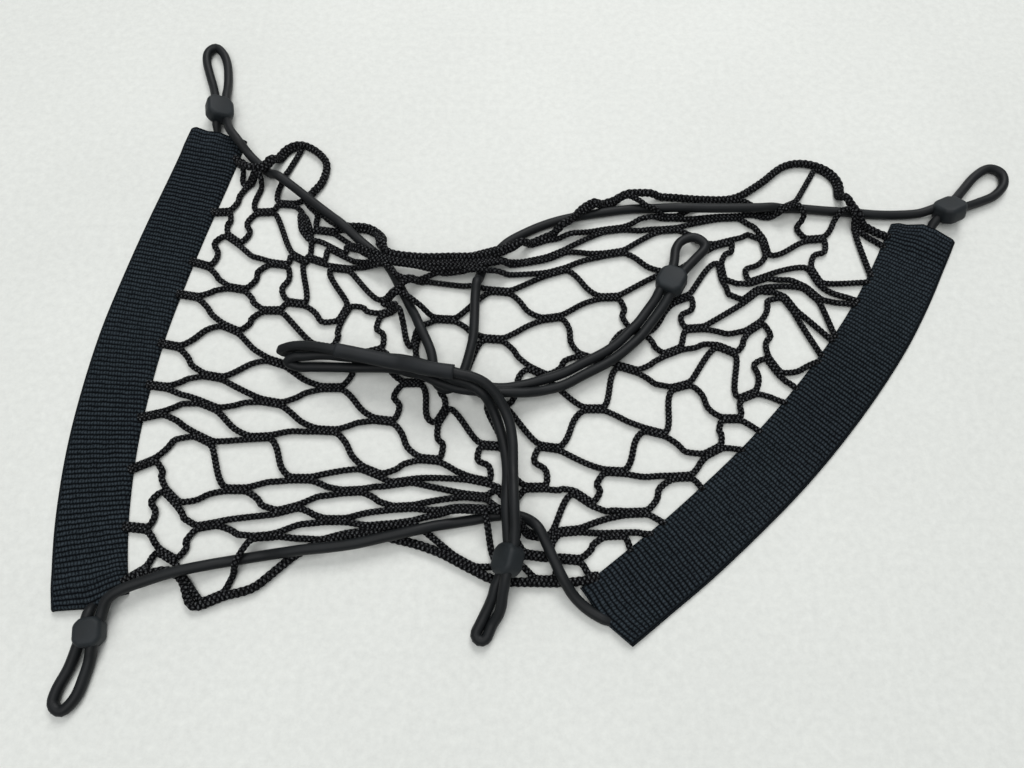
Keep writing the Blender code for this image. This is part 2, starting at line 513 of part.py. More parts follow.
def net_surface(net):
    """The middle surface of the net: a strip for each wire, and a web where three or more of them meet."""
    points = [np.array(p) for p in net.points]
    around = [[] for _ in points]
    for start, end in net.wires:
        around[start].append(end)
        around[end].append(start)
    spots, faces, corners = [], [], {}
    for at, others in enumerate(around):
        others.sort(key=lambda k: math.atan2(points[k][1] - points[at][1], points[k][0] - points[at][0]))
        half = net.thick[at] / 2
        web = []
        if len(others) == 1:
            way = points[others[0]][:2] - points[at][:2]
            aside = np.array((-way[1], way[0])) / np.linalg.norm(way) * half
            spots += [(*(points[at][:2] + aside), points[at][2]), (*(points[at][:2] - aside), points[at][2])]
            corners[at, others[0]] = (len(spots) - 2, len(spots) - 1)
            continue
        for first, second in zip(others, others[1:] + others[:1]):
            spots.append((*corner_between(points[at], points[first], points[second], half), points[at][2]))
            web.append(len(spots) - 1)
        for k, other in enumerate(others):
            corners[at, other] = (web[k], web[k - 1])
        if len(others) > 2:
            faces.append(web)
    for start, end in net.wires:
        faces.append((corners[start, end][1], corners[end, start][0], corners[end, start][1], corners[start, end][0]))
    return spots, faces


def make_net(trims):
    spots, faces = net_surface(net_wires())
    mesh = bpy.data.meshes.new("net")
    mesh.from_pydata([tuple(p) for p in placed(spots)], [], [tuple(face) for face in faces])
    thing = add_object("net", mesh, "braid")
    solid = thing.modifiers.new("thickness", "SOLIDIFY")
    solid.thickness = NET_TALL * MM
    solid.offset = 0
    for trim in trims:
        cut(thing, trim)
        thing.modifiers[-1].use_self = True
    return thing


def make_bead(name, x, y, z, turn, roll, bores):
    """A rounded block of rubber with two bores for the two legs of the cord."""
    mesh = bpy.data.meshes.new(name)
    bm = bmesh.new()
    bmesh.ops.create_cube(bm, size=1)
    size = Matrix.Diagonal((BEAD_LONG * MM, BEAD_WIDE * MM, BEAD_TALL * MM, 1))
    turned = Matrix.Rotation(math.radians(turn), 4, "Z") @ Matrix.Rotation(math.radians(roll), 4, "X")
    spot = Matrix.Translation(Vector(placed([(x, y, z)])[0]))
    bmesh.ops.transform(bm, matrix=spot @ turned @ size, verts=bm.verts)
    bm.to_mesh(mesh)
    bm.free()
    bead = add_object(name, mesh, "rubber")
    edge = bead.modifiers.new("round", "BEVEL")
    edge.width = BEAD_ROUND * MM
    edge.segments = 2
    cut(bead, bores)
    return bead


def make_sleeve(bores):
    line = tube("cut_sleeve_line", smooth(SLEEVE_LINE, 2), SLEEVE)
    rod = add_object("sleeve", mesh_of("cut_sleeve", line).data, "rubber")
    cut(rod, bores)
    return rod


def main():
    for thing in list(bpy.data.objects):
        bpy.data.objects.remove(thing)
    make_net([band_trim(LEFT_BAND), band_trim(RIGHT_BAND)])
    make_band("band_left", LEFT_BAND)
    make_band("band_right", RIGHT_BAND)
    bores = {}
    for name, table in (("cord_top", CORD_TOP), ("cord_bottom", CORD_BOTTOM), ("cord_middle", CORD_MIDDLE)):
        tube(name, cord_route(table), CORD, "rubber_cord")
        bores[name] = fat_cord(table)
    through = ("cord_top", "cord_bottom", "cord_top", "cord_middle", "cord_middle")
    for bead, cord in zip(BEADS, through):
        make_bead(*bead, bores[cord])
    make_sleeve(bores["cord_middle"])


main()
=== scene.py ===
"""A cargo net for a car boot, lying loose on a pale floor: a knotless net of black braid between two
webbing bands, with three rubber cords, five rubber beads and a sleeve. Tables and sizes are in millimetres,
and the stage is in metres."""

import math

import bpy
import numpy as np
from mathutils import Matrix, Vector


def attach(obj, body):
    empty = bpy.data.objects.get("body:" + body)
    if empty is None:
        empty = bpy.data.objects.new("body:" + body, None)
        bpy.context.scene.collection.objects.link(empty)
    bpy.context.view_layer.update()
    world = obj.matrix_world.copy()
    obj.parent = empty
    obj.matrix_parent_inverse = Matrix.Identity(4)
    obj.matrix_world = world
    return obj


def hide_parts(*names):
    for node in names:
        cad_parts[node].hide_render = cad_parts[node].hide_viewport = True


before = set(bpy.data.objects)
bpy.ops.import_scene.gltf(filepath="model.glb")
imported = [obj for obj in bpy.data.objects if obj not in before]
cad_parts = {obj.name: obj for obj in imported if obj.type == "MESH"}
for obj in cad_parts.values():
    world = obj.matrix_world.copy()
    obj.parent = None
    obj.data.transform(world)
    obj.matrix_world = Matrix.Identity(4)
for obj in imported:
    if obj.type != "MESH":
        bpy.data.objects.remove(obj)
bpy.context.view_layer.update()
bpy.ops.object.select_all(action="DESELECT")

# The floor, the camera and the light. The net lies on a pale, worn floor in soft daylight that comes mostly
# from the far side. The camera looks down on it from near its middle, tilted a little forwards.
bpy.context.scene.view_settings.view_transform = "Standard"

bpy.ops.object.camera_add(location=(-0.01275, -0.1815, 0.4127), rotation=(math.radians(21.6), 0, 0))
camera = bpy.context.object
camera.data.lens = 26.78
bpy.context.scene.camera = camera

world = bpy.data.worlds.new("daylight")
world.use_nodes = True
world.node_tree.nodes["Background"].inputs["Color"].default_value = (0.93, 0.97, 1.0, 1)
world.node_tree.nodes["Background"].inputs["Strength"].default_value = 0.30
bpy.context.scene.world = world

for name, place, size, power in (
    ("window", (0.45, 2.6, 2.8), 1.8, 74.0),
    ("ceiling", (-0.5, -0.6, 2.6), 2.6, 35.0),
):
    light = bpy.data.lights.new(name, "AREA")
    light.size = size
    light.energy = power
    lamp = bpy.data.objects.new(name, light)
    lamp.location = place
    lamp.rotation_euler = (-math.atan2(place[1], place[2]), math.atan2(place[0], place[2]), 0)
    bpy.context.collection.objects.link(lamp)

bpy.ops.mesh.primitive_plane_add(size=6, location=(0, 0, 0))
floor = bpy.context.object
floor.name = "floor"
floor_paint = bpy.data.materials.new("worn pale floor paint")
floor_paint.use_nodes = True
nodes, links = floor_paint.node_tree.nodes, floor_paint.node_tree.links
shader = nodes["Principled BSDF"]
shader.inputs["Roughness"].default_value = 0.6
place = nodes.new("ShaderNodeTexCoord")
cloudy = nodes.new("ShaderNodeTexNoise")
cloudy.inputs["Scale"].default_value = 9
cloudy.inputs["Detail"].default_value = 6
tone = nodes.new("ShaderNodeMapRange")
tone.inputs["To Min"].default_value = 0.76
tone.inputs["To Max"].default_value = 0.84
worn = nodes.new("ShaderNodeTexNoise")
worn.inputs["Scale"].default_value = 230
worn.inputs["Detail"].default_value = 8
worn.inputs["Roughness"].default_value = 0.7
marks = nodes.new("ShaderNodeMapRange")
marks.inputs["From Min"].default_value = 0.3
marks.inputs["From Max"].default_value = 0.7
marks.inputs["To Min"].default_value = 0.93
marks.inputs["To Max"].default_value = 1.06
marked = nodes.new("ShaderNodeMath")
marked.operation = "MULTIPLY"
tint = nodes.new("ShaderNodeCombineColor")
for channel, share in (("Red", 0.985), ("Green", 1.0), ("Blue", 0.95)):
    tinted = nodes.new("ShaderNodeMath")
    tinted.operation = "MULTIPLY"
    tinted.inputs[1].default_value = share
    links.new(marked.outputs["Value"], tinted.inputs[0])
    links.new(tinted.outputs["Value"], tint.inputs[channel])
links.new(place.outputs["Object"], cloudy.inputs["Vector"])
links.new(cloudy.outputs["Fac"], tone.inputs["Value"])
links.new(place.outputs["Object"], worn.inputs["Vector"])
links.new(worn.outputs["Fac"], marks.inputs["Value"])
links.new(tone.outputs["Result"], marked.inputs[0])
links.new(marks.outputs["Result"], marked.inputs[1])
links.new(tint.outputs["Color"], shader.inputs["Base Color"])
floor.data.materials.append(floor_paint)

# The three rubber cords. Each is a smooth, solid black rubber cord, 5.8 mm thick. The far and the near one
# run from band to band and stand out at the corners as loops, and the middle one is a ring with two loops of
# its own.
MM = 0.001
# All tables are measured from the middle of the lay, and this moves them to their place in the frame
SHIFT = np.array((25.25, 16.9, 0))
CORD = 5.8
CORD_STEP = 1.6  # between two points of a finished cord
FLOOR_GAP = 0.05
# What is left of a cord's thickness where it goes into a band, and the length over which it gets there
SQUEEZED, SQUEEZE_LENGTH = 0.70, 6.0

# The routes: x, y and the height of the cord's middle line
CORD_TOP = (
    (-234.4, 142.8, 2.2), (-234.8, 152, 5.5), (-236.4, 161, 5.5), (-238, 170, 5.5), (-242, 182, 3.4),
    (-246.5, 194, 3), (-250, 205, 3), (-250, 213, 3), (-245, 217, 3), (-239, 211, 3), (-235, 201, 3),
    (-233, 190, 3), (-232, 181, 3.4), (-231, 171, 5.5), (-229.4, 162, 5.5), (-227.8, 153, 6),
    (-224, 142.6, 9), (-217, 133, 8.8), (-209.5, 124.5, 3.6), (-200, 115, 3), (-195.2, 111, 3),
    (-190.6, 107.2, 6.9), (-187, 104.4, 8.9), (-178, 98, 7), (-164, 86, 7.1), (-152, 76, 7.1),
    (-144, 69.5, 7.1), (-134, 61, 3.6), (-125, 53, 3), (-117, 45.5, 3), (-111.5, 37.5, 3), (-107, 29, 3),
    (-102.5, 20.5, 3), (-98.8, 13, 3), (-95.6, 6.4, 5.4), (-92.5, -1, 7.6), (-88, -10.5, 7.1),
    (-84.8, -19, 7.1), (-83.2, -29, 6.4), (-81.5, -36.5, 6.3), (-76.5, -40.6, 6.3), (-70.5, -38.2, 6.3),
    (-65.8, -29.5, 6.4), (-62.6, -18, 7.1), (-60.8, -8, 7.1), (-60.3, 4, 7.1), (-60.2, 16, 7.1),
    (-59.9, 22, 7.2), (-59.3, 28.5, 7.7), (-58.3, 32.4, 3.7), (-57.7, 34.8, 3), (-54.4, 44.3, 3),
    (-48.5, 50.5, 3), (-40.6, 58.9, 3), (-30, 65.6, 3), (-19, 71, 3), (-8, 75, 3), (5, 78.2, 3),
    (22, 81.2, 3), (37, 83.4, 3), (50, 83.6, 3.4), (60, 82.8, 5.4), (70, 81.8, 7.1), (84, 81.4, 7.1),
    (102, 81.4, 7.1), (118, 81.8, 7.1), (126.5, 82.5, 6.6), (135, 83.4, 3.6), (144, 83.8, 3),
    (160, 82.2, 3), (176, 80.9, 3), (192, 79.2, 3), (206, 79, 3), (219, 79.6, 3.8), (229, 82.2, 5.5),
    (236, 85.4, 5.5), (243, 88.6, 5.5), (252, 98, 3.4), (262, 108.5, 3), (272, 114.5, 3), (279.5, 111, 3),
    (279, 102, 3), (271, 93.5, 3), (260, 88.5, 3), (251, 84.8, 3.8), (245, 82, 5.5), (238, 78.8, 5.5),
    (231, 75.6, 5.4), (227, 71.6, 3.4), (224.2, 66.2, 2.4),
)
CORD_BOTTOM = (
    (-255.2, -158.2, 2.4), (-255.6, -163.5, 5.5), (-256.6, -171, 5.5), (-257.7, -179, 5.5),
    (-261, -190, 3.4), (-265, -200, 3), (-265.5, -207, 3), (-260.5, -210, 3), (-255, -203.5, 3),
    (-252.5, -193, 3), (-251.3, -186, 3.6), (-250.7, -180, 5.5), (-249.7, -172, 5.5), (-248.6, -164, 5.8),
    (-246, -157, 7.8), (-239.5, -152.4, 8.6), (-229, -148, 7.4), (-215, -143.4, 7.1), (-200, -139.8, 5.4),
    (-188, -137.2, 3), (-170, -134.2, 3), (-158, -133, 6), (-148, -131.8, 7.1), (-134, -130.4, 7.1),
    (-120, -128.4, 7.1), (-106, -125.2, 7.1), (-90, -121.6, 7.1), (-80, -119, 5.4), (-69, -116.8, 3),
    (-58, -115, 3), (-46, -112.8, 3), (-36, -112.8, 3), (-29.2, -115.3, 4.8), (-24, -120.2, 7.8),
    (-20, -128, 7.1), (-16, -137, 7.1), (-11.5, -146.5, 7.1), (-6, -155, 4.4), (1, -161.6, 3),
    (9.4, -166.6, 3), (15, -168.4, 3),
)
CORD_MIDDLE = (
    (-131.6, -23.6, 20.1), (-137.5, -22.4, 20.2), (-143.6, -20.8, 19.4), (-152.2, -18.9, 17.9),
    (-160.9, -17.6, 15.5), (-167.5, -17.4, 12.8), (-171.8, -17.9, 9.9), (-168.5, -18.2, 7.2),
    (-163, -17.8, 6.8), (-155, -17.8, 6.8), (-148, -18.8, 6.8), (-141, -20, 6.8), (-129, -21.2, 6.8),
    (-113, -21.4, 6.8), (-104, -22, 7.2), (-97, -23.9, 8.8), (-91.5, -26.3, 11.3), (-87, -28.2, 12.5),
    (-82, -30.6, 12.8), (-76, -33.2, 12.7), (-70, -35.5, 12.6), (-63, -37.2, 12.2), (-57, -38.4, 9.8),
    (-50, -39.8, 7), (-41, -40, 6.8), (-30, -37.9, 6.8), (-20, -35, 6.8), (-8.5, -31, 6.8),
    (3.5, -24.5, 6.8), (15.7, -17.9, 6.8), (23.7, -12, 6.8), (30.8, -4.8, 6.8), (36.6, 1.3, 6.8),
    (42.7, 9.6, 6.8), (47.6, 16.3, 7.8), (50.8, 22.2, 9.1), (55.1, 29.6, 9.2), (59.4, 36.9, 9.2),
    (61.2, 44, 8.6), (62.6, 50.8, 7.5), (65.7, 56.3, 6.8), (69.9, 59.1, 6.8), (74.4, 60.1, 6.8),
    (78.4, 58.5, 6.8), (81.2, 55, 6.8), (80.2, 51.2, 6.8), (76.2, 46.7, 6.9), (71.7, 41.6, 8),
    (65, 33.6, 9.2), (60.7, 26.2, 9.2), (56.4, 18.9, 9.1), (50.9, 10.1, 7.8), (43.3, -0.1, 6.8),
    (37.4, -7.7, 6.8), (31, -13.9, 6.8), (23.8, -20, 6.8), (16, -25.2, 6.8), (3.6, -31.9, 6.8),
    (-8.2, -38.3, 6.8), (-20, -41.7, 6.9), (-30, -44, 9.6), (-41, -44.6, 11.4), (-50, -44.9, 11.9),
    (-57, -44.2, 12.4), (-63, -43.7, 12.6), (-70, -42.4, 12.6), (-80, -38.8, 12.8), (-85, -36.2, 12.4),
    (-90, -33.6, 11.2), (-97, -31, 8), (-104.8, -28.4, 6.9), (-113, -27.6, 6.8), (-129, -27.5, 6.8),
    (-145.5, -27.2, 6.8), (-153.6, -27.1, 6.8), (-161.8, -26.9, 6.8), (-167.5, -24.8, 8.9),
    (-162.8, -22.7, 11.4), (-156.9, -22.5, 12), (-148.7, -21.9, 12.3), (-138.7, -22.4, 12.7),
    (-129, -23.6, 12.6), (-113, -24.6, 12.3), (-104, -25.4, 13), (-97, -27.6, 14.5), (-90, -30.4, 17),
    (-84, -33.3, 18.1), (-80, -35.2, 18.4), (-70, -39.4, 18.1), (-63, -41.6, 18.4), (-59.7, -43.6, 18.6),
    (-56, -45.8, 18), (-53.4, -48.2, 17), (-50.2, -52, 12.8), (-46.8, -59.1, 9), (-43.3, -70.5, 6.8),
    (-41.2, -82, 6.8), (-40.6, -92, 7.8), (-41, -102, 12.2), (-41, -112, 13.8), (-40.5, -120, 12),
    (-40.2, -125.2, 10.2), (-40.1, -129.2, 9.3), (-42.2, -137.5, 9.2), (-44.3, -145.8, 9.2),
    (-46.5, -150.7, 8.6), (-47.8, -155.3, 7), (-49.7, -159.8, 5), (-52.1, -164.5, 3.4), (-54.4, -169.1, 3),
    (-56.5, -173.4, 3), (-56.1, -175.5, 3), (-54.6, -177, 3), (-52.6, -177, 3), (-50.9, -175.6, 3),
    (-49.9, -173.2, 3), (-48, -169, 3.4), (-45, -164.7, 6.1), (-43.4, -160.2, 8.7), (-42.8, -155.6, 11),
    (-41.9, -151, 13.4), (-41.1, -146.6, 15), (-39, -138.3, 15), (-36.9, -130.1, 15), (-36.6, -125, 15.8),
    (-36.4, -120, 17), (-36.8, -112, 18.8), (-37.2, -102, 17.8), (-37.5, -90, 13.6), (-37.6, -75.8, 13.2),
    (-39.1, -64.5, 13.5), (-41.7, -57.2, 15), (-45.4, -50.5, 18.4), (-49.6, -45.9, 21.4),
    (-54.5, -42.6, 23.6), (-60.4, -40.4, 25), (-66, -39.3, 25.8), (-70, -38.2, 26), (-76, -37.5, 26),
)


def smooth(points, parts=16):
    """A Catmull-Rom curve through the points, parts steps to each span."""
    points = np.array(points, float)
    ends = (2 * points[0] - points[1], 2 * points[-1] - points[-2])
    all_points = np.vstack((ends[0], points, ends[1]))
    line = []
    for before, start, end, after in zip(all_points, all_points[1:], all_points[2:], all_points[3:]):
        for t in np.arange(parts) / parts:
            bend = 2 * start + (end - before) * t + (2 * before - 5 * start + 4 * end - after) * t**2
            line.append((bend + (3 * start - 3 * end + after - before) * t**3) / 2)
    return np.array(line + [points[-1]])


def spaced(line, step):
    """The line cut into equal steps of about this length."""
    lengths = np.concatenate(([0], np.cumsum(np.linalg.norm(np.diff(line, axis=0), axis=1))))
    places = np.linspace(0, lengths[-1], max(2, round(lengths[-1] / step) + 1))
    return np.column_stack([np.interp(places, lengths, line[:, k]) for k in range(line.shape[1])])


def length_of(line):
    """The length of a line, in the unit of its points."""
    return np.linalg.norm(np.diff(line, axis=0), axis=1).sum()


def dusty_rubber_pattern():
    """A node group: cloudy dust, which takes the colour from clean to dusty and the roughness from low to
    high, and a fine moulded grain as a height."""
    group = bpy.data.node_groups.new("dusty moulded rubber", "ShaderNodeTree")
    for name, kind in (("Clean", "Color"), ("Dusty", "Color"), ("Low", "Float"), ("High", "Float")):
        group.interface.new_socket(name, in_out="INPUT", socket_type="NodeSocket" + kind)
    for name, kind in (("Color", "Color"), ("Roughness", "Float"), ("Grain", "Float")):
        group.interface.new_socket(name, in_out="OUTPUT", socket_type="NodeSocket" + kind)
    nodes, links = group.nodes, group.links
    inside, out = nodes.new("NodeGroupInput"), nodes.new("NodeGroupOutput")
    place = nodes.new("ShaderNodeTexCoord")
    dust = nodes.new("ShaderNodeTexNoise")
    dust.inputs["Scale"].default_value = 90
    dust.inputs["Detail"].default_value = 8
    covered = nodes.new("ShaderNodeMapRange")
    covered.inputs["From Min"].default_value = 0.35
    covered.inputs["From Max"].default_value = 0.8
    colour = nodes.new("ShaderNodeMix")
    colour.data_type = "RGBA"
    rough = nodes.new("ShaderNodeMapRange")
    grain = nodes.new("ShaderNodeTexNoise")
    grain.inputs["Scale"].default_value = 2600
    for texture in (dust, grain):
        links.new(place.outputs["Object"], texture.inputs["Vector"])
    links.new(dust.outputs["Fac"], covered.inputs["Value"])
    links.new(covered.outputs["Result"], colour.inputs["Factor"])
    links.new(inside.outputs["Clean"], colour.inputs["A"])
    links.new(inside.outputs["Dusty"], colour.inputs["B"])
    links.new(dust.outputs["Fac"], rough.inputs["Value"])
    links.new(inside.outputs["Low"], rough.inputs["To Min"])
    links.new(inside.outputs["High"], rough.inputs["To Max"])
    links.new(colour.outputs["Result"], out.inputs["Color"])
    links.new(rough.outputs["Result"], out.inputs["Roughness"])
    links.new(grain.outputs["Fac"], out.inputs["Grain"])
    return group


dusty_rubber = dusty_rubber_pattern()


def rubber(name, colour, low, high, bump):
    """Matt black rubber, a little paler where it is dusty, with a roughness from low to high."""
    material = bpy.data.materials.new(name)
    material.use_nodes = True
    nodes, links = material.node_tree.nodes, material.node_tree.links
    shader = nodes["Principled BSDF"]
    shader.inputs["Specular IOR Level"].default_value = 0.3
    surface = nodes.new("ShaderNodeGroup")
    surface.node_tree = dusty_rubber
    surface.inputs["Clean"].default_value = (*colour, 1)
    surface.inputs["Dusty"].default_value = (*[c * 1.8 + 0.001 for c in colour], 1)
    surface.inputs["Low"].default_value = low
    surface.inputs["High"].default_value = high
    raised = nodes.new("ShaderNodeBump")
    raised.inputs["Strength"].default_value = bump
    raised.inputs["Distance"].default_value = 0.0001
    links.new(surface.outputs["Color"], shader.inputs["Base Color"])
    links.new(surface.outputs["Roughness"], shader.inputs["Roughness"])
    links.new(surface.outputs["Grain"], raised.inputs["Height"])
    links.new(raised.outputs["Normal"], shader.inputs["Normal"])
    return material


cord_rubber = rubber("smooth black cord rubber", (0.0042, 0.0052, 0.0060), 0.46, 0.62, 0.25)


def cord_line(table):
    """The finished route of a cord, nowhere under the floor."""
    line = spaced(smooth(table), CORD_STEP)
    line[:, 2] = np.maximum(line[:, 2], CORD / 2 + FLOOR_GAP)
    return line


def make_cord(name, node, table):
    """A cord as a round tube. Its ends are squeezed, except on the ring, where they meet in the sleeve."""
    line = cord_line(table)
    curve = bpy.data.curves.new(name, "CURVE")
    curve.dimensions = "3D"
    curve.bevel_depth = CORD / 2 * MM
    curve.bevel_resolution = 5
    curve.use_fill_caps = True
    spline = curve.splines.new("POLY")
    spline.points.add(len(line) - 1)
    if node != "cord_middle":
        from_end = CORD_STEP * np.minimum(np.arange(len(line)), np.arange(len(line))[::-1])
        share = np.clip(SQUEEZED + (1 - SQUEEZED) * from_end / SQUEEZE_LENGTH, 0, 1)
        line[:, 2] -= (1 - share) * CORD / 2
        spline.points.foreach_set("radius", share)
    for point, spot in zip(spline.points, (line + SHIFT) * MM):
        point.co = (*spot, 1)
    spline.use_smooth = True
    cord = bpy.data.objects.new(name, curve)
    bpy.context.collection.objects.link(cord)
    curve.materials.append(cord_rubber)
    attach(cord, "root")
    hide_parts(node)
    return cord


cord_top = make_cord("far_cord", "cord_top", CORD_TOP)
cord_bottom = make_cord("near_cord", "cord_bottom", CORD_BOTTOM)
cord_middle = make_cord("middle_cord", "cord_middle", CORD_MIDDLE)

# The net. It is knotless: eighteen black braids zigzag from the left band to the right one, and each runs
# beside its neighbour for 12 mm at every join. A thicker braid edges its far and its near side. The ends are
# sewn into the bands.
TWINE, FLUFFED = 3.4, 3.7  # thickness of a braid, firm and over its loose fibres
EDGE = 5.0  # thickness of an edge braid
PLAIT, EDGE_PLAIT = 2.55, 3.4  # length of one stitch
CORE, STITCH_RISE = 0.97, 0.085  # mean radius and how far a stitch rises from it, in half thicknesses
JOIN_LENGTH = 12.0
MESH_SIDE = 27.0  # length of a strand from one join to the next
MOST_SLACK = 1.22  # the most length of a strand, as a multiple of its span
LEAVE = 25.0  # degrees by which a strand turns off its join, before it is bent towards the next one
BESIDE, EDGE_BESIDE = 1.0, 2.1  # from the middle of a join, and of an edge braid, to a braid that runs there
OVER_HEIGHT = 6.6  # how far the net is lifted where it rides on a cord
OVER_FLAT, OVER_REACH = 5.0, 13.0  # distances from the cord up to which it is fully lifted, and lifted at all
SPACING, STEP = 2.0, 0.85  # between two points of a rough line, and of a finished braid
BAND_WIDTH = 39.0
INTO_BAND = 2.0  # how far a braid goes on inside a band

# The middle lines of the bands, from the far end to the near one: x, y
LEFT_BAND = (
    (-233.5, 142), (-241.5, 106), (-250, 70), (-257.5, 34), (-264, -3), (-267.5, -40), (-268.5, -75),
    (-266.5, -110), (-262.5, -138), (-258, -158),
)
RIGHT_BAND = (
    (220.5, 66), (198, 26), (175.5, -8), (144, -47), (107.5, -85.5), (63, -125), (31, -150), (12, -164.5),
)
# The joins. A course is a line of joins from the far edge to the near one, and the courses are counted from
# the left band. The places along a course are counted from the far edge, at 0, to the near one, at 18. Each
# entry: course, place of its first join, and its joins, one at every second place: x, y, turn in degrees.
COURSES = (
    (0, 0, (
        (-216, 119.6, -42), (-223, 82, 3), (-230, 44, -18), (-234, 22, -10), (-240, -11, -12),
        (-243, -37, -8), (-243, -55, 15), (-242, -84, 30), (-240, -119, -8), (-236, -144, 35),
    )),
    (1, 1, (
        (-206, 105, 42), (-213, 62, -36), (-206, 27, -10), (-206, 0, -24), (-212, -31, -10),
        (-212, -49, -22), (-212, -69, -25), (-225, -102, -42), (-222, -134, -28),
    )),
    (2, 2, (
        (-195, 82, 3), (-182, 44, -8), (-183, 12, 0), (-176, -22, -18), (-176, -47, -10), (-180, -68, 3),
        (-190, -98, 0), (-203, -118, 10),
    )),
    (3, 1, (
        (-182, 88, -5), (-170, 48, -30), (-169, 17, -8), (-150, -12, -10), (-142, -38, 0), (-143, -64, -3),
        (-155, -92, 0), (-160, -109, 15), (-170, -124, 12),
    )),
    (4, 2, (
        (-171, 75, -80), (-160, 47, -20), (-139, 10, 65), (-120, -15, 15), (-111, -58, -7),
        (-116, -88, -22), (-126, -99, 3), (-134, -115, 0),
    )),
    (5, 1, (
        (-156, 68, -8), (-147, 53, -30), (-144, 41, -8), (-112, 11, 20), (-96, -35, 0), (-84, -81, -5),
        (-99, -94, 8), (-97, -108, 3), (-97, -117, 8),
    )),
    (6, 2, (
        (-136, 54.5, -37), (-122, 42, -5), (-112, 20, 22), (-95, -7, 80), (-78, -55, 60), (-56, -93, -12),
        (-58, -102, -6), (-59, -110.4, -3),
    )),
    (7, 1, (
        (-110, 46, -12), (-103, 41, -8), (-97, 31, 15), (-78, 6, -3), (-73, -34, 0), (-50, -73, -4),
        (-42, -102, -50), (-42, -112.2, -23), (-40, -138, 8),
    )),
    (8, 2, (
        (-82, 41, 0), (-66, 37, 5), (-45, 25, -5), (-49, -7, -4), (-46, -48, -18), (-25, -97, 0),
        (-24, -123.5, -8), (-26, -134, -8),
    )),
    (9, 1, (
        (-22, 60, 20), (-10, 51, 25), (-10, 39, 17), (-14, 7, 8), (-23, -28, -27), (-17, -74, -8),
        (1, -103, -35), (-7, -121, 5), (-7, -136, -5),
    )),
    (10, 2, (
        (26, 69, 8), (26, 52, 10), (21, 21, 2), (7, -19, -18), (9, -51, 0), (19, -88, -3), (30, -111, 2),
        (17, -123, 2),
    )),
    (11, 1, (
        (61, 78, 0), (61, 69, 5), (60, 39, 8), (37, -2, -20), (30, -26, -18), (43, -65, -15), (56, -91, 3),
    )),
    (12, 2, (
        (100, 78, 2), (94, 59, 16), (65, 20, 22), (57, -15, 22), (60, -37, 15), (75, -76, 27),
    )),
    (13, 1, (
        (136, 82, 25), (120, 56, -82), (91, 39, -85), (71, 0, 4), (89, -14, -25), (87, -57, 0),
    )),
    (14, 2, (
        (152, 62, 5), (113, 33, 20), (107, 22, 38), (107, 1, 33), (98, -43, 22),
    )),
    (15, 1, (
        (178, 74, -80), (148, 36, -67), (145, 23, -48), (130, 16, -60), (115, -24, -60),
    )),
)
# The strands that end in the right band: course and place of their last join, side (1 far, -1 near), x, y
RIGHT_ENDS = (
    (15, 1, 1, 191, 58), (15, 1, -1, 180, 36), (15, 3, 1, 178, 33), (15, 3, -1, 169, 20),
    (15, 5, 1, 167, 18), (15, 5, -1, 151, -4), (15, 7, 1, 149, -6), (15, 7, -1, 141, -16),
    (15, 9, 1, 139, -18), (15, 9, -1, 125, -37), (14, 10, -1, 118, -46), (13, 11, -1, 102, -64),
    (12, 12, -1, 92, -75), (11, 13, -1, 67, -98), (10, 14, -1, 45, -117), (10, 16, 1, 38, -123),
    (10, 16, -1, 25, -131),
)
# The edge braids, from the left band to the right one: x, y
FAR_EDGE = (
    (-219, 121), (-208, 112), (-198, 112), (-192, 122), (-186, 131), (-177, 134), (-166, 128), (-159, 118),
    (-161, 104), (-168, 92), (-160, 82), (-147, 72), (-129, 70), (-119, 62), (-115, 49), (-96, 45),
    (-76, 45), (-56, 46), (-38, 53), (-18, 62.5), (-2, 71), (9, 82), (30, 91), (56, 93), (84, 91),
    (104, 92), (122, 103), (138, 116), (152, 119), (166, 114), (173, 104), (173, 90), (179, 76), (190, 67),
    (198, 63),
)
NEAR_EDGE = (
    (-236, -146), (-222, -142), (-212, -146), (-206, -158), (-201, -160), (-188, -155), (-174, -151),
    (-164, -143), (-152, -133), (-138, -127), (-118, -123), (-98, -126), (-78, -132), (-60, -141),
    (-46, -147), (-26, -148), (-8, -148), (8, -146),
)
# Where a braid runs beside an edge braid: course, place, x and y of its start, x and y of its end
EDGE_JOINS = (
    (2, 0, -198, 112, -176, 134), (4, 0, -168, 92, -160, 82), (6, 0, -140, 71, -122, 65),
    (8, 0, -70, 45, -38, 53), (10, 0, 6, 80, 36, 92), (12, 0, 84, 91, 107, 94), (14, 0, 160, 116, 173, 92),
    (2, 18, -200, -159, -188, -155), (4, 18, -140, -127, -126, -124), (6, 18, -70, -136, -58, -142),
    (8, 18, -26, -148, -16, -148), (10, 18, 3, -147, None, None),
)
# The stretches of cord on which the net rides: x and y of the start, x and y of the end
OVER = (
    (-204, 116, -196, 112), (-126, 54, -112, 44), (-112, 44, -50, 43), (-112, 44, -98, 12),
    (-58, 44, -38, 56.5), (-60, 38, -53.5, 43.8), (-3, 73, 10, 80), (38, 85, 48, 85),
    (137.4, 82.3, 150, 84), (174, 82, 178, 82), (-180, -133, -176, -133), (-66, -116, -36, -113),
)


def direction(turn):
    """Unit vector on the floor at this turn in degrees."""
    return np.array((math.cos(math.radians(turn)), math.sin(math.radians(turn))))


def turned_between(first, second):
    """Degrees from the first turn to the second, the short way."""
    return (second - first + 180) % 360 - 180


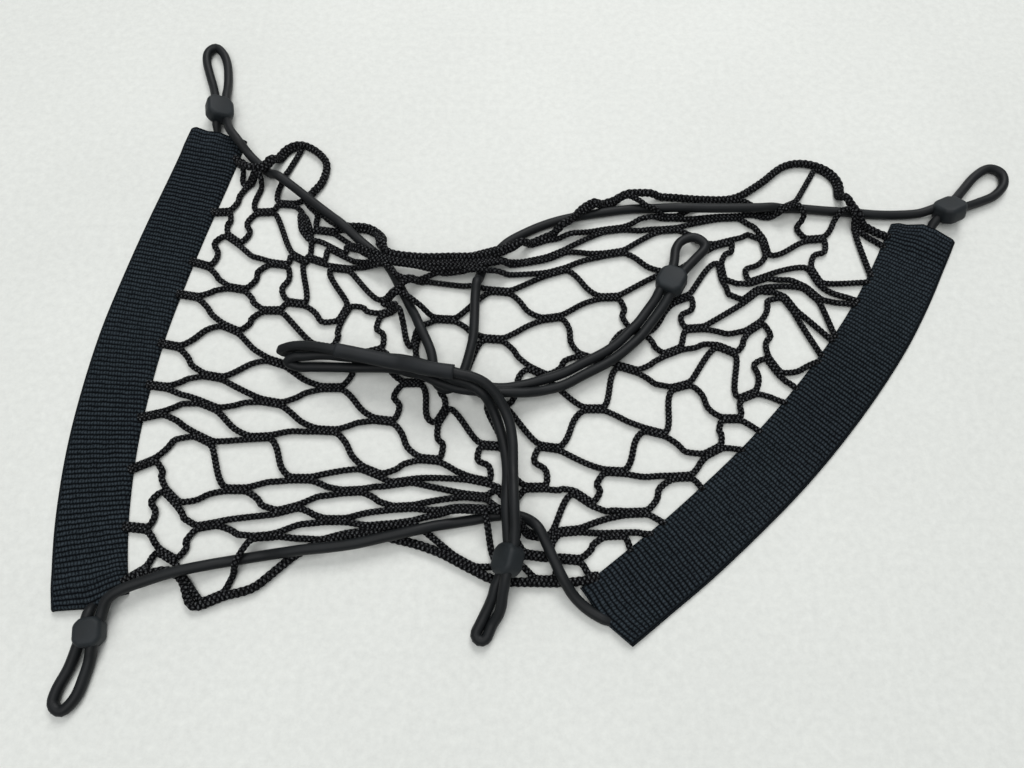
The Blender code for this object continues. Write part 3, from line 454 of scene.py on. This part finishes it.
def net_height(x, y):
    """Height of the middle of a braid: on the floor, or over a cord where the net rides on it."""
    raised = 0.0
    for x0, y0, x1, y1 in OVER:
        along = np.array((x1 - x0, y1 - y0), float)
        share = np.dot((x - x0, y - y0), along) / np.dot(along, along)
        near = np.array((x0, y0)) + along * min(1.0, max(0.0, share))
        reach = (OVER_REACH - math.hypot(x - near[0], y - near[1])) / (OVER_REACH - OVER_FLAT)
        reach = min(1.0, max(0.0, reach))
        raised = max(raised, OVER_HEIGHT * reach * reach * (3 - 2 * reach))
    return TWINE / 2 + raised


def aside_of(line):
    """Unit vectors to the left of a line on the floor, one for each of its points."""
    along = np.gradient(line[:, :2], axis=0)
    return np.column_stack((-along[:, 1], along[:, 0])) / np.linalg.norm(along, axis=1)[:, None]


def nearest_to(line, spot):
    """The number of the line's point that is nearest to the spot."""
    return int(np.argmin(np.linalg.norm(line - spot, axis=1)))


def band_lines(route, net_side):
    """The middle of a band and its edge on the net's side, the left (1) or the right (-1) of its route."""
    middle = spaced(smooth(route), SPACING)
    return middle, middle + aside_of(middle) * net_side * BAND_WIDTH / 2


band_sides = {"left": band_lines(LEFT_BAND, 1), "right": band_lines(RIGHT_BAND, -1)}


def into_band(side, x, y):
    """The point a little inside a band, next to x, y on its edge."""
    middle, edge = band_sides[side]
    nearest = nearest_to(edge, (x, y))
    inwards = (middle[nearest] - edge[nearest]) / np.linalg.norm(middle[nearest] - edge[nearest])
    return np.array((x, y)) + inwards * (INTO_BAND + np.dot(edge[nearest] - (x, y), inwards))


def strand_line(start, start_turn, end, end_turn):
    """A strand between two points, leaving and arriving at these turns. The reach of its two bends is found
    in a few rounds, so that it bows out until it has its length."""
    span = np.linalg.norm(end - start)
    length = min(MESH_SIDE, span * MOST_SLACK)
    reach = span * 0.3
    for _ in range(12):
        first = start + direction(start_turn) * reach
        second = end - direction(end_turn) * reach
        t = np.linspace(0, 1, 13)[:, None]
        line = (1 - t)**3 * start + 3 * t * (1 - t)**2 * first + 3 * t * t * (1 - t) * second + t**3 * end
        longer = length - length_of(line)
        reach = min(max(reach + longer * 0.45, span * 0.2), MESH_SIDE * 0.75)
    return line


def strand(spot, turn, side, end, end_turn):
    """One strand from the end of a join, up (side 1) or down (side -1), to the start of the next course's."""
    straight = math.degrees(math.atan2(*(end - spot)[::-1]))
    leave = straight if turn is None else turn + side * LEAVE
    arrive = straight if end_turn is None else end_turn
    short = min(1.0, max(0.0, (MESH_SIDE - np.linalg.norm(end - spot)) / (MESH_SIDE * 0.6)))
    leave += (0.6 + 0.35 * short) * turned_between(leave, straight)
    arrive += (0.5 + 0.45 * short) * turned_between(arrive, straight)
    return strand_line(spot, leave, end, arrive)


edge_lines = {0: smooth(FAR_EDGE), 18: smooth(NEAR_EDGE)}
joins = {}
for course, place, row in COURSES:
    for x, y, turn in row:
        half = direction(turn) * JOIN_LENGTH / 2
        start = (x, y) - half if course else into_band("left", x - half[0], y - half[1])
        joins[course, place] = (np.array((start, (x, y) + half)), turn)
        place += 2
for course, place, x0, y0, x1, y1 in EDGE_JOINS:
    line = edge_lines[place]
    last = len(line) if x1 is None else nearest_to(line, (x1, y1)) + 1
    joins[course, place] = (line[nearest_to(line, (x0, y0)):last], None)
right_ends = {(course, place, side): into_band("right", x, y) for course, place, side, x, y in RIGHT_ENDS}


def braid_route(row):
    """The route of one braid. It runs along the lower side of each join in its upper row, and the upper side
    of each join in its lower row, and crosses between the two rows in between."""
    route, course = [], 0
    while True:
        upper = (course - row) % 2 == 0
        place = row if upper else row + 1
        line, turn = joins[course, place]
        line = spaced(line, SPACING)
        apart = EDGE_BESIDE if turn is None else BESIDE
        route.append(line + aside_of(line) * (-apart if upper else apart))
        side = -1 if upper else 1
        following = joins.get((course + 1, place - side))
        if following is None:
            break
        start, next_line = route[-1][-1], following[0]
        next_apart = EDGE_BESIDE if following[1] is None else BESIDE
        end = next_line[0] + aside_of(next_line)[0] * (next_apart if upper else -next_apart)
        route.append(strand(start, turn, side, end, following[1])[1:-1])
        course += 1
    end = right_ends.get((course, place, side))
    if end is not None:
        route.append(strand(route[-1][-1], turn, side, end, None)[1:])
    return np.vstack(route)


def softened(line):
    """The line in a braid's steps, its corners rounded a little, with its ends kept."""
    line = spaced(line, STEP)
    for _ in range(6):
        line[1:-1] = (line[:-2] + 2 * line[1:-1] + line[2:]) / 4
    return line


def swept(line, section):
    """Rings of points along a line. The section is places across and up, for all rings or for each of them."""
    aside = np.column_stack((aside_of(line), np.zeros(len(line))))
    along = np.gradient(line, axis=0)
    up = np.cross(along, aside)
    up /= np.linalg.norm(up, axis=1)[:, None]
    section = np.broadcast_to(section, (len(line), *np.shape(section)[-2:]))
    return line[:, None] + aside[:, None] * section[..., :1] + up[:, None] * section[..., 1:]


def mesh_of_rings(name, tubes, material):
    """One object out of several swept tubes with closed ends. Its UV map holds the millimetres along each
    tube, and the place around it as the tube's own numbers give it."""
    points, faces, uvs = [], [], []
    for rings, around in tubes:
        rows, count = rings.shape[:2]
        first = sum(len(p) for p in points)
        at = first + np.arange(rows * count).reshape(rows, count)
        after = np.roll(at, -1, axis=1)
        faces += np.stack((at[:-1], after[:-1], after[1:], at[1:]), -1).reshape(-1, 4).tolist()
        faces += [at[0, ::-1].tolist(), at[-1].tolist()]
        middle = rings.mean(axis=1)
        u = np.concatenate(([0], np.cumsum(np.linalg.norm(np.diff(middle, axis=0), axis=1))))
        u0, v0 = np.meshgrid(u[:-1], around[:-1], indexing="ij")
        u1, v1 = np.meshgrid(u[1:], around[1:], indexing="ij")
        uvs.append(np.stack((u0, v0, u0, v1, u1, v1, u1, v0), -1).reshape(-1, 2))
        for end in (u[0], u[-1]):
            uvs.append(np.column_stack((np.full(count, end), around[:-1])))
        points.append(rings.reshape(-1, 3))
    mesh = bpy.data.meshes.new(name)
    mesh.from_pydata(((np.vstack(points) + SHIFT) * MM).tolist(), [], faces)
    mesh.uv_layers.new(name="along").data.foreach_set("uv", np.vstack(uvs).ravel())
    mesh.shade_smooth()
    mesh.materials.append(material)
    thing = bpy.data.objects.new(name, mesh)
    bpy.context.collection.objects.link(thing)
    return thing


def braid_tube(flat_line, wide, sides, plait):
    """A braid as rings around its line, thicker by turns where its stitches stand out. The places around it
    are in turns."""
    line = np.column_stack((flat_line, [net_height(*p) + (wide - TWINE) / 2 for p in flat_line]))
    turns = np.arange(sides) / sides * 2 * math.pi
    places = np.arange(len(line))[:, None] * STEP / plait * 2 * math.pi
    radius = wide / 2 * (CORE + STITCH_RISE * np.cos(places + turns))
    section = np.stack((np.cos(turns) * radius, np.sin(turns) * radius), -1)
    return swept(line, section), np.arange(sides + 1) / sides


def maths_in(tree):
    """A function that adds a Math node to this tree, each input linked or, for a number, set. It gives back
    the node's output."""
    def maths(operation, first, second=None):
        node = tree.nodes.new("ShaderNodeMath")
        node.operation = operation
        for socket, value in zip(node.inputs, (first, second)):
            if isinstance(value, (int, float)):
                socket.default_value = value
            elif value is not None:
                tree.links.new(value, socket)
        return node.outputs["Value"]

    return maths


def braid_pattern():
    """A node group: the plaited stitches of a braid, as a height from its UV map in millimetres and turns."""
    group = bpy.data.node_groups.new("plaited stitches", "ShaderNodeTree")
    group.interface.new_socket("Pitch", in_out="INPUT", socket_type="NodeSocketFloat").default_value = 3.0
    group.interface.new_socket("Around", in_out="INPUT", socket_type="NodeSocketFloat").default_value = 4.0
    group.interface.new_socket("Height", in_out="OUTPUT", socket_type="NodeSocketFloat")
    nodes, links, maths = group.nodes, group.links, maths_in(group)
    inside, out = nodes.new("NodeGroupInput"), nodes.new("NodeGroupOutput")
    place = nodes.new("ShaderNodeUVMap")
    place.uv_map = "along"
    split = nodes.new("ShaderNodeSeparateXYZ")
    links.new(place.outputs["UV"], split.inputs["Vector"])
    along = maths("DIVIDE", split.outputs["X"], inside.outputs["Pitch"])
    turned = maths("MULTIPLY", split.outputs["Y"], inside.outputs["Around"])
    one = maths("SINE", maths("MULTIPLY", maths("ADD", along, turned), math.pi))
    other = maths("SINE", maths("MULTIPLY", maths("SUBTRACT", along, turned), math.pi))
    crossing = maths("ABSOLUTE", maths("MULTIPLY", one, other))
    links.new(maths("POWER", crossing, 0.5), out.inputs["Height"])
    return group


stitches = braid_pattern()


def braid_yarn(name, pitch, around):
    """Black polypropylene braid with raised stitches. Its sheen is painted: the stitch crests are coloured
    pale grey as highlights, brightest in scattered glinting spots, with the yarn's black between them.
    """
    material = bpy.data.materials.new(name)
    material.use_nodes = True
    nodes, links, maths = material.node_tree.nodes, material.node_tree.links, maths_in(material.node_tree)
    shader = nodes["Principled BSDF"]
    shader.inputs["Roughness"].default_value = 0.6
    shader.inputs["Specular IOR Level"].default_value = 0.03
    pattern = nodes.new("ShaderNodeGroup")
    pattern.node_tree = stitches
    pattern.inputs["Pitch"].default_value = pitch
    pattern.inputs["Around"].default_value = around
    place = nodes.new("ShaderNodeTexCoord")
    glint_noise = nodes.new("ShaderNodeTexNoise")
    glint_noise.inputs["Scale"].default_value = 1300
    glint_noise.inputs["Detail"].default_value = 3
    links.new(place.outputs["Object"], glint_noise.inputs["Vector"])
    lit = nodes.new("ShaderNodeMapRange")
    lit.inputs["From Min"].default_value = 0.45
    lit.inputs["From Max"].default_value = 0.64
    lit.inputs["To Min"].default_value = 0.12
    links.new(glint_noise.outputs["Fac"], lit.inputs["Value"])
    # Painted highlight: the pale grey goes on the stitch crests and is brightest in the glinting spots, as the
    # shader itself reflects almost nothing
    crest = maths("POWER", pattern.outputs["Height"], 3.0)
    painted_glint = maths("MULTIPLY", lit.outputs["Result"], crest)
    sheen_painted_colour = nodes.new("ShaderNodeMix")
    sheen_painted_colour.data_type = "RGBA"
    sheen_painted_colour.inputs["A"].default_value = (0.0015, 0.0015, 0.002, 1)
    sheen_painted_colour.inputs["B"].default_value = (0.135, 0.14, 0.145, 1)
    links.new(painted_glint, sheen_painted_colour.inputs["Factor"])
    links.new(sheen_painted_colour.outputs["Result"], shader.inputs["Base Color"])
    raised = nodes.new("ShaderNodeBump")
    raised.inputs["Strength"].default_value = 1.0
    raised.inputs["Distance"].default_value = 0.0008
    links.new(pattern.outputs["Height"], raised.inputs["Height"])
    links.new(raised.outputs["Normal"], shader.inputs["Normal"])
    return material


braids = [braid_tube(softened(braid_route(row)), FLUFFED, 8, PLAIT) for row in range(18)]
for place, line in edge_lines.items():
    route = np.vstack((joins[0, place][0], line[2:], [into_band("right", *line[-1])]))
    braids.append(braid_tube(softened(route), EDGE, 10, EDGE_PLAIT))
net = mesh_of_rings("net", braids, braid_yarn("black braid", PLAIT, 3))
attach(net, "root")
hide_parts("net")

# The two bands. Each is two layers of ribbed webbing, sewn one on the other over the net's ends, with its own
# ends folded in and stitched down.
BAND_THICK, HEM_THICK = 3.4, 4.8
HEM_LENGTH, HEM_SLOPE = 16.0, 10.0  # length of a hem up to the middle of its slope, and of that slope
BAND_STEP = 0.55  # between two points along a finished band
TOP_POINTS = 31  # across its top
RIB, DASH = 2.8, 1.75  # from one rib, and from one stitch of a rib, to the next
RIB_HEIGHT = 0.3
ROW_SHIFT = 0.31  # how far each rib's stitches start after those of the rib before, as a share of a stitch
WANDER = 1.6  # how far the ribs wander to and fro in all, in millimetres, and their stitches, in stitches
STRIP, STRIP_STITCH = 2.3, 1.3  # the plain strip along the outer side, and one stitch of it
INNER_EDGE = 2.6  # strip along the inner side that is a tenth thinner
END_ROUNDING = 1.2  # length over which an end rounds off
REACH_LENGTH = 26.0  # length of a band's end that is drawn out by REACHES
# How far each end is drawn out past its route, the far end first. Each pair: place across the band, from -1
# on the right of its route to 1 on the left, and millimetres.
REACHES = {
    "left_band": (((-1, 1.2), (-0.8, 3.0), (-0.35, 1.3), (0, 2.2), (0.4, 0.6), (1, 0.5)),
                  ((-1, 0.5), (-0.5, 2.0), (0, 3.8), (0.25, 3.0), (0.6, 1.0), (1, 0))),
    "right_band": (((-1, -2), (-0.6, 0), (-0.1, 6), (0.3, 6), (0.7, 4.5), (1, 4)),
                   ((-1, 3), (0, 4.5), (0.6, 2), (1, 0))),
}


def webbing(name):
    """Navy-black woven webbing: ribs across it, each a row of short stitches, and a plain woven strip along
    its outer side. Its sheen is painted: the raised ribs, stitches and strip are coloured a paler navy-grey
    as highlights over black grooves. Its UV map holds millimetres along and across, the outer side last."""
    material = bpy.data.materials.new(name)
    material.use_nodes = True
    nodes, links, maths = material.node_tree.nodes, material.node_tree.links, maths_in(material.node_tree)
    shader = nodes["Principled BSDF"]
    shader.inputs["Roughness"].default_value = 0.62
    shader.inputs["Specular IOR Level"].default_value = 0.02
    place = nodes.new("ShaderNodeUVMap")
    place.uv_map = "along"
    split = nodes.new("ShaderNodeSeparateXYZ")
    links.new(place.outputs["UV"], split.inputs["Vector"])
    yarn = nodes.new("ShaderNodeTexNoise")
    yarn.inputs["Scale"].default_value = 0.9
    yarn.inputs["Detail"].default_value = 4
    links.new(place.outputs["UV"], yarn.inputs["Vector"])
    wavy = nodes.new("ShaderNodeTexNoise")
    wavy.inputs["Scale"].default_value = 0.16
    links.new(place.outputs["UV"], wavy.inputs["Vector"])
    drawn = maths("MULTIPLY", maths("SUBTRACT", wavy.outputs["Fac"], 0.5), WANDER)
    row = maths("DIVIDE", maths("ADD", split.outputs["X"], drawn), RIB)
    rib = maths("POWER", maths("ABSOLUTE", maths("SINE", maths("MULTIPLY", row, math.pi))), 1.4)
    uneven = maths("MULTIPLY", maths("SUBTRACT", yarn.outputs["Fac"], 0.5), WANDER)
    shifted = maths("ADD", maths("MULTIPLY", maths("FLOOR", row), ROW_SHIFT), uneven)
    across = maths("ADD", maths("DIVIDE", split.outputs["Y"], DASH), shifted)
    dash = maths("ABSOLUTE", maths("SINE", maths("MULTIPLY", across, math.pi)))
    woven = maths("MULTIPLY", rib, maths("ADD", maths("MULTIPLY", dash, 0.85), 0.15))
    chain = maths("ABSOLUTE", maths("SINE", maths("MULTIPLY", split.outputs["Y"], math.pi / STRIP_STITCH)))
    strip = maths("MULTIPLY", maths("MULTIPLY", chain, yarn.outputs["Fac"]), 0.6)
    at_side = maths("GREATER_THAN", split.outputs["Y"], BAND_WIDTH / 2 - STRIP)
    height = nodes.new("ShaderNodeMix")
    links.new(at_side, height.inputs["Factor"])
    links.new(woven, height.inputs["A"])
    links.new(strip, height.inputs["B"])
    # Painted highlight: the raised ribs and stitches are coloured a paler navy-grey and the grooves black, as
    # the shader itself reflects almost nothing
    sheen_painted_colour = nodes.new("ShaderNodeMix")
    sheen_painted_colour.data_type = "RGBA"
    sheen_painted_colour.inputs["A"].default_value = (0.0008, 0.001, 0.0014, 1)
    sheen_painted_colour.inputs["B"].default_value = (0.040, 0.052, 0.062, 1)
    links.new(height.outputs["Result"], sheen_painted_colour.inputs["Factor"])
    links.new(sheen_painted_colour.outputs["Result"], shader.inputs["Base Color"])
    raised = nodes.new("ShaderNodeBump")
    raised.inputs["Strength"].default_value = 0.8
    raised.inputs["Distance"].default_value = 0.0006
    links.new(height.outputs["Result"], raised.inputs["Height"])
    links.new(raised.outputs["Normal"], shader.inputs["Normal"])
    return material


band_cloth = webbing("ribbed webbing")


def make_band(name, node, route):
    """A band as one closed mesh: a ribbed top, thicker over the hems, rounded sides and a flat underside."""
    line = spaced(smooth(route), BAND_STEP)
    length = length_of(line)
    places = np.linspace(0, length, len(line))
    from_end = np.minimum(places, length - places)
    hem = np.clip((HEM_LENGTH + HEM_SLOPE / 2 - from_end) / HEM_SLOPE, 0, 1)
    thick = BAND_THICK + (HEM_THICK - BAND_THICK) * hem * hem * (3 - 2 * hem)
    ribs = RIB_HEIGHT * (np.abs(np.sin(math.pi * places / RIB)) - 0.65)
    end = np.clip(from_end / END_ROUNDING, 0, 1) ** 0.5 * 0.45 + 0.55
    top = np.linspace(-1, 1, TOP_POINTS)
    top = np.sign(top) * np.abs(top) ** 0.8
    to_outside = -1 if route is LEFT_BAND else 1
    profile = 1 - np.abs(top) ** 14 * 0.5
    profile -= 0.10 * (BAND_WIDTH / 2 + top * to_outside * BAND_WIDTH / 2 < INNER_EDGE)
    across = np.concatenate((top, (1.0, -1.0)))
    section = np.zeros((len(line), len(across), 2))
    section[..., 0] = across * BAND_WIDTH / 2
    section[:, :TOP_POINTS, 1] = (thick * end)[:, None] * profile + ribs[:, None] * (np.abs(top) < 0.99)
    rings = swept(np.column_stack((line, np.zeros(len(line)))), section[:, ::-1])
    far_end = REACHES[name][0], line[0] - line[8], places
    near_end = REACHES[name][1], line[-1] - line[-9], length - places
    for reach, way, away in (far_end, near_end):
        fading = np.clip(1 - away / REACH_LENGTH, 0, 1) ** 1.5
        further = np.interp(across[::-1], *np.array(reach).T) * fading[:, None]
        rings[..., :2] += further[..., None] * way / np.linalg.norm(way)
    around = np.concatenate((across[::-1], across[-1:])) * BAND_WIDTH / 2 * to_outside
    band = mesh_of_rings(name, [(rings, around)], band_cloth)
    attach(band, "root")
    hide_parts(node)


make_band("left_band", "band_left", LEFT_BAND)
make_band("right_band", "band_right", RIGHT_BAND)

# The beads and the sleeve. Each bead is a rounded block of slate-grey rubber, with the two legs of its
# loop running through it. The sleeve is a rubber tube that joins the two ends of the middle cord into a ring.
BEAD_LONG, BEAD_WIDE, BEAD_TALL = 17.6, 17.0, 10.8
BEAD_CORNER = 3.9  # cut off each upright edge
ROUNDINGS = ((2.6, 60), (1.5, 30))  # width of a rounding, and the degrees from which an edge gets it

# Name, x, y and height of its middle, turn and roll in degrees, and its size as a share
BEADS = (
    ("bead_left_far", -232.9, 158.6, 7.8, 100, 32, 1.0),
    ("bead_left_near", -252.9, -173.2, 6.0, 98, 5, 0.84),
    ("bead_right_far", 237, 79.6, 7.6, 24.6, -28, 1.0),
    ("bead_middle_far", 57.9, 27.9, 9.2, 59.7, -10, 1.0),
    ("bead_middle_near", -40.3, -137.9, 12.1, 76, -50, 0.95),
)
SLEEVE, SLEEVE_SIDES = 8.4, 28  # its thickness, and the flats around it
# Its middle line: x, y, height
SLEEVE_LINE = (
    (-137.5, -22.4, 20.2), (-127, -24.6, 20.1), (-116, -26.9, 19.8), (-103, -29.8, 19.9),
    (-94, -32.6, 22.9), (-87, -35.2, 25), (-79, -37, 26), (-70, -38.2, 26),
)

bead_rubber = rubber("slate bead rubber", (0.0110, 0.0140, 0.0160), 0.5, 0.66, 0.2)
beads = {}
for name, x, y, z, turn, roll, size in BEADS:
    bpy.ops.mesh.primitive_cube_add(size=MM)
    bead = bpy.context.object
    bead.name = name + "_shown"
    bead.scale = (BEAD_LONG * size, BEAD_WIDE * size, BEAD_TALL)
    bpy.ops.object.transform_apply(location=False, rotation=False, scale=True)
    bpy.ops.object.mode_set(mode="EDIT")
    bpy.ops.mesh.select_mode(type="EDGE")
    bpy.ops.mesh.select_all(action="DESELECT")
    bpy.ops.object.mode_set(mode="OBJECT")
    for edge in bead.data.edges:
        foot, head = (bead.data.vertices[k].co.z for k in edge.vertices)
        edge.select = abs(foot - head) > BEAD_TALL * MM / 2
    bpy.ops.object.mode_set(mode="EDIT")
    bpy.ops.mesh.bevel(offset=BEAD_CORNER * size * MM, segments=1, affect="EDGES")
    bpy.ops.object.mode_set(mode="OBJECT")
    for width, limit in ROUNDINGS:
        rounding = bead.modifiers.new("rounded edges", "BEVEL")
        rounding.width = width * MM
        rounding.segments = 4
        rounding.limit_method = "ANGLE"
        rounding.angle_limit = math.radians(limit)
        bpy.ops.object.modifier_apply(modifier=rounding.name)
    turned = Matrix.Rotation(math.radians(turn), 4, "Z") @ Matrix.Rotation(math.radians(roll), 4, "X")
    bead.matrix_world = Matrix.Translation(Vector((np.array((x, y, z)) + SHIFT) * MM)) @ turned
    bpy.ops.object.transform_apply(location=True, rotation=True, scale=True)
    bead.data.shade_smooth()
    bead.data.materials.append(bead_rubber)
    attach(bead, "root")
    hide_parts(name)
    beads[name] = bead

sleeve_line = spaced(smooth(SLEEVE_LINE), 1.5)
turns = np.arange(SLEEVE_SIDES) / SLEEVE_SIDES * 2 * math.pi
ring = np.column_stack((np.cos(turns), np.sin(turns))) * SLEEVE / 2
around = np.arange(SLEEVE_SIDES + 1) / SLEEVE_SIDES
sleeve_rubber = rubber("sleeve rubber", (0.009, 0.0105, 0.012), 0.5, 0.66, 0.2)
sleeve = mesh_of_rings("sleeve", [(swept(sleeve_line, ring), around)], sleeve_rubber)
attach(sleeve, "root")
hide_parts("sleeve")

# Each cord, its route table, and the beads and the sleeve that sit on it
for cord, table, on_it in (
    (cord_top, CORD_TOP, [beads["bead_left_far"], beads["bead_right_far"]]),
    (cord_bottom, CORD_BOTTOM, [beads["bead_left_near"]]),
    (cord_middle, CORD_MIDDLE, [beads["bead_middle_far"], beads["bead_middle_near"], sleeve]),
):
    line = cord_line(table)
